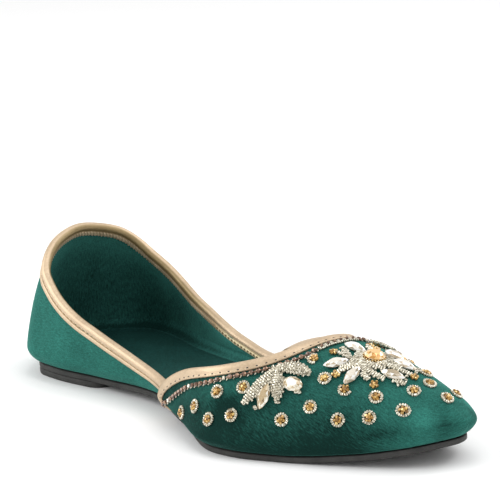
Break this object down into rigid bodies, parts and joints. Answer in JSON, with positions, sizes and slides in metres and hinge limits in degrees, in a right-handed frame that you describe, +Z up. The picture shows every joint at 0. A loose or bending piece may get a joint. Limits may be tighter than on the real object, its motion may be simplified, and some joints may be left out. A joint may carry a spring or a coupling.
{
  "type": "slip-on shoe",
  "caption": "Flat slip-on mojari shoe with velvet upper, leather-bound collar and throat, set stones and thin rubber sole.",
  "frame": {"origin": "middle of the shoe's box at floor level", "axes": "+X towards the outer side of the foot, +Y towards the toe, +Z up"},
  "size_m": [0.0922, 0.25, 0.0626],
  "materials": {
    "rubber": "matt charcoal",
    "lining": "dark green velvet",
    "velvet": "green velvet with a soft nap",
    "binding_leather": "pale gold leather with a satin sheen",
    "amber_stone": "faceted amber, polished",
    "clear_stone": "faceted crystal, polished"
  },
  "bodies": {
    "root": {"outsole": "rubber", "heel_lift": "rubber", "insole": "lining", "upper": "velvet", "collar_binding": "binding_leather", "throat_binding": "binding_leather", "centre_stone": "amber_stone", "petal_stone_outer": "clear_stone", "petal_stone_outer_front": "clear_stone", "petal_stone_back": "clear_stone", "petal_stone_front": "clear_stone", "petal_stone_inner_front": "clear_stone", "petal_stone_inner": "clear_stone", "spray_stone_outer": "clear_stone", "oval_stone_outer": "clear_stone", "spray_stone_inner": "clear_stone", "oval_stone_inner": "clear_stone"}
  },
  "joints": []
}
